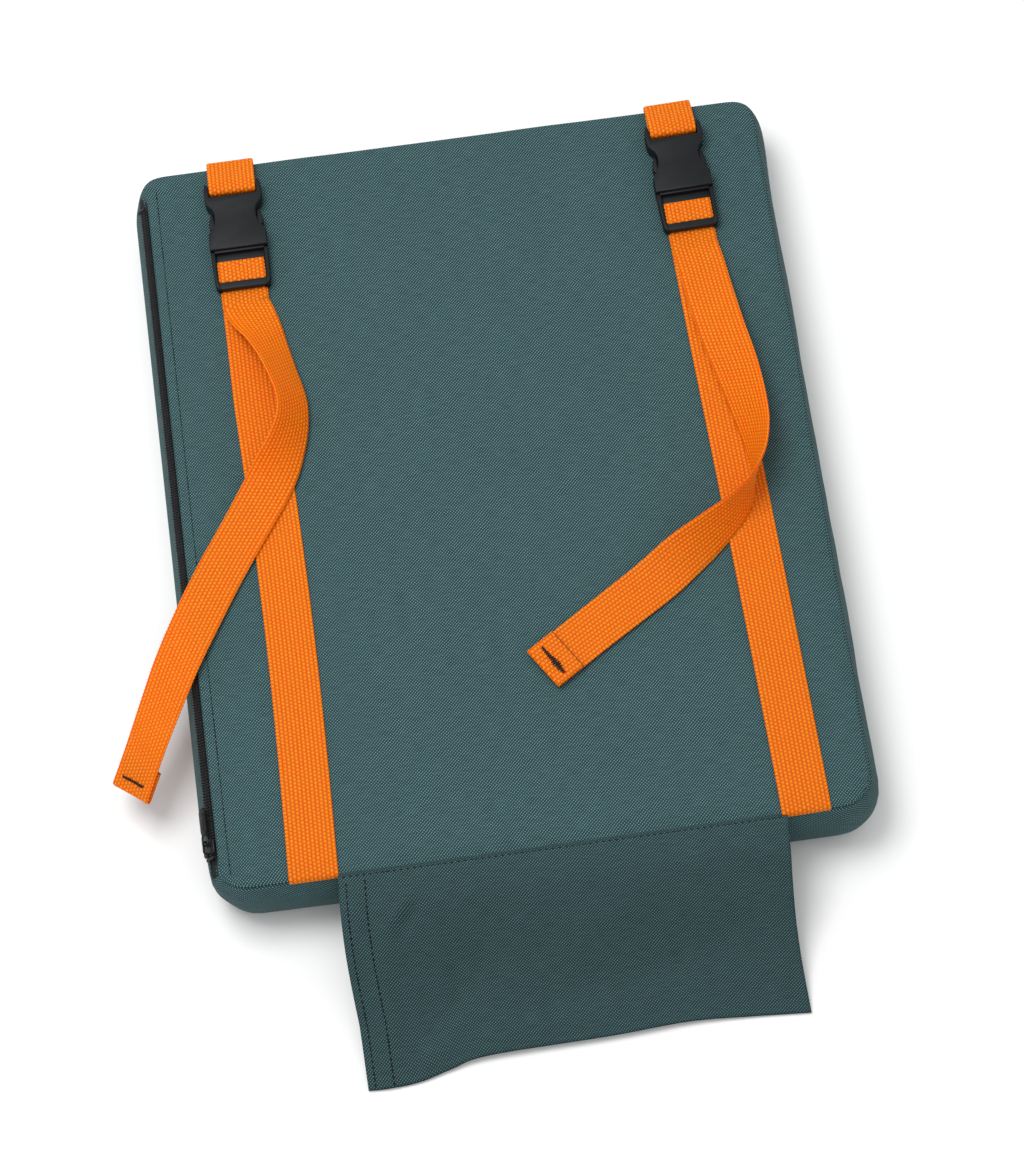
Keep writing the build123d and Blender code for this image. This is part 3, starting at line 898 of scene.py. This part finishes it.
# Stations of the free tails: across, along, height, and the roll in degrees
LEFT_TAIL = (
    (3.6, 107, 54.5, -12),
    (8.4, 93, 59, -35),
    (13.4, 76, 62.5, -48),
    (18.0, 56, 64.5, -52),
    (17.2, 42, 63.5, -53),
    (11.5, 28, 60.5, -42),
    (1, 11, 55.8, -14),
    (-13, -9, 53.4, 0),
    (-29.5, -33, 52, 0),
    (-43.5, -56, 52, 4),
    (-56, -78, 51.5, 12),
    (-66, -97, 48, 19),
    (-76, -116, 43, 24),
    (-88.2, -136.3, 30, 22),
)
RIGHT_TAIL = (
    (1.4, 104, 53.6, 3),
    (2.7, 86, 55.2, 9),
    (5, 63, 57.8, 20),
    (8.4, 39, 60.3, 32),
    (10.5, 17, 62.5, 45),
    (11.2, 1, 64, 58),
    (9.5, -14, 65.2, 74),
    (4.0, -28, 65, 94),
    (-6.5, -39.5, 62.5, 113),
    (-20.5, -48.8, 60.3, 130),
    (-37.8, -58.6, 56.6, 153),
    (-54.6, -68.8, 53.2, 172),
    (-88.5, -88.2, 52, 180),
    (-116.8, -105.2, 52, 180),
)


def strap_frame(x, turn):
    """Matrix that puts a strap line's own coordinates on the pad."""
    return Matrix.Translation((x, 0, 0)) @ Matrix.Rotation(radians(turn), 4, "Z")


def moved(points, matrix):
    points = np.asarray(points, float)
    m = np.array(matrix)
    return points @ m[:3, :3].T + m[:3, 3]


def section():
    """Outline of the webbing's cross-section: (across, up), with softly rounded edges."""
    half, thick = WEB_WIDTH / 2, WEB / 2
    flat = np.linspace(-half + 0.8, half - 0.8, 13)
    top = [(x, thick) for x in flat]
    bottom = [(x, -thick) for x in flat[::-1]]
    right = [(half - 0.15, thick * 0.6), (half, 0), (half - 0.15, -thick * 0.6)]
    left = [(-x, -z) for x, z in right]
    return np.array(top + right + bottom + left)


def ribbon(centres, acrosses, matrix):
    """Webbing along centres, with its width direction at each point."""
    outline = section()
    around = len(outline)
    points, flat = [], []
    length = distances(centres)
    for i, (middle, ahead, across) in enumerate(zip(centres, headings(centres), acrosses)):
        across = unit(across - ahead * (across @ ahead))
        up = np.cross(across, ahead)
        tooth = 0.13 * (1 if i % 2 else -1)
        for x, z in outline:
            edge = tooth * np.sign(x) if abs(x) > WEB_WIDTH / 2 - 0.5 else 0
            points.append(middle + across * (x + edge) + up * z)
            flat.append((x + WEB_WIDTH / 2 + (0 if z >= 0 else 0.5 * WEB_COLUMN), length[i]))
    faces = capped(quad_grid(len(centres), around, closed=True), len(centres), around)
    uv = [flat[i] for f in faces for i in f]
    return moved(points, matrix), faces, uv


def run_path():
    """Middle of the webbing from the front seam to the buckle's middle bar, in (y, z)."""
    clear = WEB / 2 + WEB_GAP
    run = TOP + WEB_GAP + WEB / 2 + 0.1
    tail = run + WEB + WEB_GAP
    front, back, _, over = MIDDLE_BAR
    corners = [
        (-HALF_LENGTH - 1.2, run - 4.2), (-HALF_LENGTH - 0.3, run - 1.6), (-HALF_LENGTH + 9, run),
        (100, run), (back + clear, run + 0.6), (back + clear, over + clear),
        (front - clear - 1.0, over + clear - 0.6),
        (front - clear - 1.5, tail),
        (TAIL_START, tail),
    ]
    return rounded_path(corners, [0.8, 6, 6, 1.6, 1.4, 1.4, 1.0])


def tail_frames(stations):
    """Middles and width directions along a free tail, with the roll about its length."""
    tail = TOP + 0.1 + WEB_GAP + WEB / 2 + WEB + WEB_GAP
    start = ((0, TAIL_START + 8, tail, 0), (0, TAIL_START, tail, 0))
    curve = through([*start, *stations], 1.0)
    curve = resampled(curve[8:], 1.0)
    middles, rolls = curve[:, :3], np.radians(curve[:, 3])
    acrosses = []
    for ahead, roll in zip(headings(middles), rolls):
        level = unit(np.array((-ahead[1], ahead[0], 0)))
        upright = np.cross(level, ahead)
        upright = upright if upright[2] > 0 else -upright
        acrosses.append(level * cos(roll) + upright * sin(roll))
    return middles, np.array(acrosses)


def folded_end(end, ahead, towards):
    """Middle of the webbing where its end turns back on itself."""
    radius = (WEB + FOLD_GAP) / 2
    middle = end + towards * radius
    bend = [middle + radius * (ahead * sin(a) - towards * cos(a)) for a in np.arange(1, 6) * pi / 6]
    back = [end + towards * 2 * radius - ahead * step for step in np.arange(0, FOLD_LENGTH, 1.0)]
    return np.array(bend + back)


def with_plug(thing):
    """Bakes a strap part's placement into its mesh."""
    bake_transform(thing)


def strap(side, x, turn, stations, material):
    """One length of webbing: the run along the face, round the bar, and the free tail."""
    matrix = strap_frame(x, turn)
    run = resampled(run_path(), 1.0)
    bow = RUN_BOW[side] * np.sin(pi * np.clip((60 - run[:, 0]) / (60 + HALF_LENGTH), 0, 1))
    run = np.column_stack([bow, run])
    middles, acrosses = tail_frames(stations)
    ahead = unit(middles[-1] - middles[-3])
    end_across = acrosses[-1]
    upper = np.cross(end_across, ahead)
    upper = upper if upper[2] > 0 else -upper
    fold = folded_end(middles[-1], ahead, upper * FOLD_SIDE[side])
    if side == "left":
        fold += np.linspace(0, FOLD_SLIP, len(fold))[:, None] * end_across * np.sign(end_across[0])
    centres = np.vstack([run[:-1], middles, fold])
    on_face = np.tile((1.0, 0, 0), (len(run) - 1, 1))
    on_fold = np.tile(end_across, (len(fold), 1))
    points, faces, uv = ribbon(centres, np.vstack([on_face, acrosses, on_fold]), matrix)
    web = mesh_object(f"{side}_webbing", points, faces, material, crease=60, uv=uv)
    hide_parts(f"{side}_strap")
    with_plug(web)
    # A dark red strip over the last half millimetre of the folded end: painted shadow, for the thin
    # line of shade at the end of the fold.
    cut = np.array([fold[-1] - ahead * step for step in (0.02, 0.25, 0.5)])
    points, faces, uv = ribbon(cut, np.tile(end_across, (3, 1)), matrix)
    end_shadow_colour = thread("painted_end_shadow", (0.42, 0.02, 0.001))
    end_shadow_strip = mesh_object(f"{side}_cut_end_painted_shadow", points, faces, end_shadow_colour, uv=uv)
    with_plug(end_shadow_strip)
    over = (WEB + FOLD_GAP) if FOLD_SIDE[side] > 0 else 0
    return middles[-1] + upper * (over + WEB / 2), end_across, ahead, upper, matrix


def anchor(side, x, turn, material):
    """The short doubled loop that holds the socket half to the back seam."""
    clear = WEB / 2 + WEB_GAP
    under, over = LOOP_BAR_Z[0] - clear, LOOP_BAR_Z[1] + clear
    front = LOOP_SLOT[1] - clear
    seam = HALF_LENGTH + 1.0 + clear
    foot = TOP - 2.5
    outer = seam + WEB + WEB_GAP
    corners = [
        (seam, foot), (seam, under), (front, under), (front, over),
        (LOOP_BAR_END + 1.6, over), (outer, TOP + 2.5), (outer, foot),
    ]
    path = resampled(rounded_path(corners, [1.2, 1.6, 1.6, 3.0, 1.4]), 1.0)
    centres = np.column_stack([np.zeros(len(path)), path])
    acrosses = np.tile((1.0, 0, 0), (len(path), 1))
    points, faces, uv = ribbon(centres, acrosses, strap_frame(x, turn))
    loop = mesh_object(f"{side}_loop_webbing", points, faces, material, crease=60, uv=uv)
    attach(loop, "cover")
    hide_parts(f"{side}_anchor_loop")


TACK_FROM_END = 5.6
TACKS = {
    # length, then the zigzag's half width along it
    "left": (14.6, (0.7, 0.8, 0.75, 0.8, 0.7)),
    "right": (18.0, (0.6, 1.6, 2.1, 1.1, 0.8, 0.7)),
}


def bartack(side, end, across, ahead, upper, matrix, material):
    """Zigzag tack across the folded end of a tail."""
    length, widths = TACKS[side]
    middle = end - ahead * TACK_FROM_END + upper * 0.2
    shares = np.linspace(0, 1, int(length / 0.62))
    reach = np.interp(shares, np.linspace(0, 1, len(widths)), widths)
    corners = []
    for k, (share, half) in enumerate(zip(shares, reach)):
        stray = 0.5 * noise.noise((k * 0.9, 0.3, 2.0))
        zigzag = (half if k % 2 else -half) + stray
        corners.append(middle + across * (share - 0.5) * length + ahead * zigzag)
    parts = [capsule_run(a, b, upper, 0.3) for a, b in zip(corners, corners[1:])]
    points, faces = joined(parts)
    tack = mesh_object(f"{side}_tack", moved(points, matrix), faces, material)
    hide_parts(f"{side}_bartack")
    with_plug(tack)


# ---- buckles

MOUTH_Y = 148.0
BUCKLE_HALF = 15.4
CAVITY_HALF = 13.6
FEMALE_LOW = 50.4
FEMALE_HIGH = 59.4
CAVITY_LOW = 52.2
CAVITY_HIGH = 57.6
CAVITY_END = 171.0


def solid(name, shape):
    """A hidden helper object for cutting or joining shapes."""
    mesh = bpy.data.meshes.new(name)
    mesh.from_pydata([tuple(p) for p in shape[0]], [], [list(f) for f in shape[1]])
    thing = bpy.data.objects.new(name, mesh)
    bpy.context.scene.collection.objects.link(thing)
    return thing


def combined(base, cuts=(), unions=()):
    """The base shape with other shapes cut from it or added to it, as (points, faces)."""
    body = solid("body", base)
    helpers = []
    for operation, shapes in (("DIFFERENCE", cuts), ("UNION", unions)):
        for shape in shapes:
            helper = solid("helper", shape)
            helpers.append(helper)
            change = body.modifiers.new("change", "BOOLEAN")
            change.operation = operation
            change.object = helper
            change.solver = "EXACT"
    bpy.context.view_layer.update()
    result = body.evaluated_get(bpy.context.evaluated_depsgraph_get()).to_mesh()
    points = [tuple(v.co) for v in result.vertices]
    faces = [tuple(p.vertices) for p in result.polygons]
    for thing in (body, *helpers):
        mesh = thing.data
        bpy.data.objects.remove(thing)
        bpy.data.meshes.remove(mesh)
    return points, faces


def female_shape():
    """Socket half: a soft-edged waisted shell, hollow from its mouth, with wings round the loop."""
    half = BUCKLE_HALF
    body = [(half, MOUTH_Y), (half, 156.6), (14.6, 158.6), (12.9, 160.6)]
    waist = [(11.6, 163.0), (11.1, 166.0), (11.2, 169.4), (11.9, 171.8), (13.4, 173.4)]
    wing = [(14.8, 175.2), (15.4, 178.0), (15.4, 182.0), (15.2, 185.0), (14.8, 186.8)]
    tip = [(14.1, 187.5), (13.3, 187.2), (12.9, 186.2)]
    slot = [(12.8, LOOP_SLOT[1] - 1.0), (12.8, LOOP_SLOT[0] + 0.8), (12.2, LOOP_SLOT[0])]
    shell = plate(mirrored([*body, *waist, *wing, *tip, *slot]), FEMALE_LOW, FEMALE_HIGH, 0.75)
    low, high = (-CAVITY_HALF, MOUTH_Y - 2, CAVITY_LOW), (CAVITY_HALF, CAVITY_END, CAVITY_HIGH)
    cavity = block(low, high, 0.4)
    bar = block((-13.2, LOOP_SLOT[1], LOOP_BAR_Z[0]), (13.2, LOOP_BAR_END, LOOP_BAR_Z[1]), 1.1, 3)
    return combined(shell, cuts=[cavity], unions=[bar])


def male_shape():
    """Plug half: rounded side rails, adjuster bars, the stepped cross bar and the guide tongue."""
    inner, outer = WEB_WIDTH / 2 + 0.3, BUCKLE_HALF
    rail = [
        (inner, 147.7), (outer, 147.7), (outer - 0.1, 145.5), (14.75, 128.6),
        (14.2, 126.6), (12.6, 125.3), (11.6, 125.3), (inner, 130.0),
    ]
    parts = []
    for side in (-1, 1):
        parts.append(plate([(side * x, y) for x, y in rail[::side]], 51.0, 57.3, 0.75))
    for y0, y1, z0, z1 in ((125.3, 129.6, 53.5, 57.0), MIDDLE_BAR):
        parts.append(block((-inner - 0.8, y0, z0), (inner + 0.8, y1, z1), 0.9, 3))
    bars = (
        # half width, then y and z: the cross bar, its low step and the tongue
        (CAVITY_HALF - 0.3, 146.9, 150.0, 52.5, 57.3),
        # The low step is dark plastic that fills the window under the socket's mouth: partly the
        # plug's own bar, partly painted shade for the shade that falls there.
        (inner + 0.5, 142.4, 147.4, 51.2, 54.2),
        (1.6, 149.5, 167.0, 52.9, 56.9),
    )
    for half, y0, y1, z0, z1 in bars:
        parts.append(block((-half, y0, z0), (half, y1, z1), 0.5))
    return joined(parts)


def prong_shape(hand):
    """Spring arm with a bulging finger pad and a latch shoulder."""
    arm = [(10.4, 150.05), (12.4, 150.05), (12.9, 158.0), (13.3, 160.7)]
    pad = [(14.3, 161.4), (14.5, 163.6), (14.1, 166.6), (13.2, 169.2), (12.2, 170.4), (11.4, 170.2)]
    outline = [(hand * x, y) for x, y in (*arm, *pad, (11.1, 161.0))]
    return plate(outline[::hand], 52.5, 57.3, 0.7)


def buckle(side, x, turn, material):
    """Both halves of one buckle, with the plug's arms."""
    matrix = strap_frame(x, turn)
    pieces = (
        (f"{side}_socket", female_shape(), "cover", f"{side}_buckle_female"),
        (f"{side}_plug_frame", male_shape(), f"{side}_plug", f"{side}_buckle_male"),
    )
    outer = 1 if x > 0 else -1
    arms = []
    for name, hand in (("outer", outer), ("inner", -outer)):
        arm = f"{side}_arm_{name}"
        arms.append((f"{arm}_detail", prong_shape(hand), arm, f"{side}_prong_{name}"))
    for name, (points, faces), body, node in (*pieces, *arms):
        thing = mesh_object(name, moved(points, matrix), faces, material, crease=32)
        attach(thing, body)
        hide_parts(node)


def strap_sets():
    """Everything on both strap lines."""
    web = webbing()
    plastic = moulded("buckle_plastic", (0.0085, 0.0095, 0.0115), 0.48)
    black = thread("black_thread", (0.012, 0.012, 0.013))
    for (side, x, turn), stations in zip(STRAPS, (LEFT_TAIL, RIGHT_TAIL)):
        anchor(side, x, turn, web)
        end = strap(side, x, turn, stations, web)
        bartack(side, *end, black)
        buckle(side, x, turn, plastic)


# ---- pocket

POCKET_LEFT = -105.0
POCKET_RIGHT = 121.5
PANEL_ROWS = 63
PANEL_CLOTH = 110.0  # length of cloth that the weave is laid on
HEM_COLUMNS = (2, 7)
# Each panel in side view, as (y, z) from the seam to the foot
UPPER_DRAPE = (
    (-200.4, 47.5), (-202.2, 48.6), (-206, 49.0), (-213, 48.2), (-222, 45.2), (-236, 35.6),
    (-251, 23.6), (-266, 14.0), (-280, 7.6), (-291, 3.8), (-298, 1.7),
)
LOWER_DRAPE = (
    (-202.4, 47.6), (-206.2, 46.2), (-226, 26), (-245, 8), (-258, 1.2), (-275, 0.55),
    (-297, 0.55),
)
POCKET_FOOT = (
    # across, then how far the free edge reaches and how high it stands there
    (-108, -299.6, 1.2),
    (-94, -300.2, 1.2),
    (-78, -298.9, 1.4),
    (-62, -294.9, 2.6),
    (-42, -291.0, 4.2),
    (20, -289.6, 4.6),
    (60, -287.6, 3.6),
    (90, -288.8, 1.8),
    (124, -291.2, 1.2),
)
POCKET_CREASES = (
    # x, y, heading in degrees, half length, half width, height
    (-88, -250, 84, 55, 7, 1.8),
    (-76, -221, 52, 9, 2.4, 2.2),
    (-71, -224, 52, 10, 2.8, -2.0),
    (-44, -252, 62, 30, 14, -2.6),
    (-62, -282, 40, 22, 6, 2.2),
    (-16, -281, 6, 60, 7, 1.8),
    (96, -215, -22, 17, 3.8, 1.3),
    (74, -219, -58, 13, 4.0, 1.5),
    (103, -227, -38, 17, 4.5, -1.5),
    (58, -258, 12, 46, 11, -2.2),
    (108, -262, -72, 28, 6, 1.6),
    (20, -240, 30, 40, 9, 1.2),
)


def pocket_line(drape):
    """Side view of a panel from the seam to its foot, in even steps."""
    curve = through([(0, y, z) for y, z in drape], 1.0)
    return resampled(curve, distances(curve)[-1] / (PANEL_ROWS - 1))


def pocket_point(drape, line, foot, s, c):
    """A point of the pocket: s from the seam to the foot, c from its mouth to its closed side."""
    top_y, (foot_y, foot_z) = drape[0][0], drape[-1]
    _, y, z = line[int(round(s * (PANEL_ROWS - 1)))]
    left = POCKET_LEFT - 1.6 * np.sin(pi * min(s * 1.4, 1)) + 0.6 * s
    right = POCKET_RIGHT - 2.0 * np.sin(pi * s) - 0.5 * s
    x = left + (right - left) * c
    y = top_y + (y - top_y) * (np.interp(x, foot[:, 0], foot[:, 1]) - top_y) / (foot_y - top_y)
    if drape is UPPER_DRAPE:
        inside = float(smooth_step(min(c, 1 - c) / 0.06))
        below = float(smooth_step((s - 0.06) / 0.2))
        z += (np.interp(x, foot[:, 0], foot[:, 2]) - foot_z) * s**3
        z += creases(x, y, POCKET_CREASES) * below * (0.35 + 0.65 * inside)
        z += 0.9 * noise.noise((x / 30 + y / 60, y / 34, 1.7)) * below * (1 - 0.5 * s)
        if c > 0.5:
            z -= 2.2 * below * (1 - inside) * (1 - s)
        z = max(z, 1.4)
    return np.array((x, y, z))


def pocket_sheet(name, drape, material):
    """One panel of the pocket, draped from the seam to the ground."""
    line, upper_line = pocket_line(drape), pocket_line(UPPER_DRAPE)
    foot = through(POCKET_FOOT, 2.0)
    columns = np.linspace(0, 1, 120)
    points, flat = [], []
    for s in np.linspace(0, 1, PANEL_ROWS):
        for c in columns:
            place = pocket_point(drape, line, foot, s, c)
            if drape is LOWER_DRAPE:
                # it closes against the upper panel along the side and the foot
                sewn = max(smooth_step((c - 0.84) / 0.15), smooth_step((s - 0.86) / 0.13))
                beside = pocket_point(UPPER_DRAPE, upper_line, foot, s, c) - (0, 0, 0.9)
                place = place + (beside - place) * sewn * smooth_step(s / 0.1)
            points.append(place)
            flat.append((place[0], -s * PANEL_CLOTH))
    faces = quad_grid(PANEL_ROWS, len(columns))
    uv = [flat[i] for f in faces for i in f]
    sheet = mesh_object(name, points, faces, material, crease=70, uv=uv)
    thicken = sheet.modifiers.new("thickness", "SOLIDIFY")
    thicken.thickness = 0.8 * MM
    thicken.offset = 0
    with bpy.context.temp_override(object=sheet, active_object=sheet, selected_objects=[sheet]):
        bpy.ops.object.modifier_apply(modifier="thickness")
    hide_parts(name.replace("visual_", ""))
    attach(sheet, "pocket")
    return np.array(points).reshape(PANEL_ROWS, len(columns), 3)


def pocket():
    """The draped pocket: two panels, the stitches of its hem and of its seam."""
    # The pocket's canvas is darkened to 0.72 of the face's: painted shade, standing in for the shade
    # on the pocket's slopes.
    cloth = canvas("pocket_canvas_painted_shade", 0.72)
    top = pocket_sheet("visual_pocket_upper_panel", UPPER_DRAPE, cloth)
    pocket_sheet("visual_pocket_lower_panel", LOWER_DRAPE, cloth)
    parts = []
    for column in HEM_COLUMNS:
        path = top[3:, column] + np.array((0, 0, 0.45))
        parts += stitches(path, np.tile((0.0, -0.4, 1.0), (len(path), 1)), 3.1, 0.28, 0.3)
    row = top[1, 1:-1] + np.array((0, -0.5, 0.2))
    parts += stitches(row, np.tile((0.0, 0.0, 1.0), (len(row), 1)), 3.2, 0.2, 0.3)
    dark = thread("pocket_thread", (0.005, 0.007, 0.007))
    seams = mesh_object("pocket_stitches", *joined(parts), dark)
    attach(seams, "pocket")


camera()
studio()
cover()
cover_seams()
zipper()
strap_sets()
pocket()
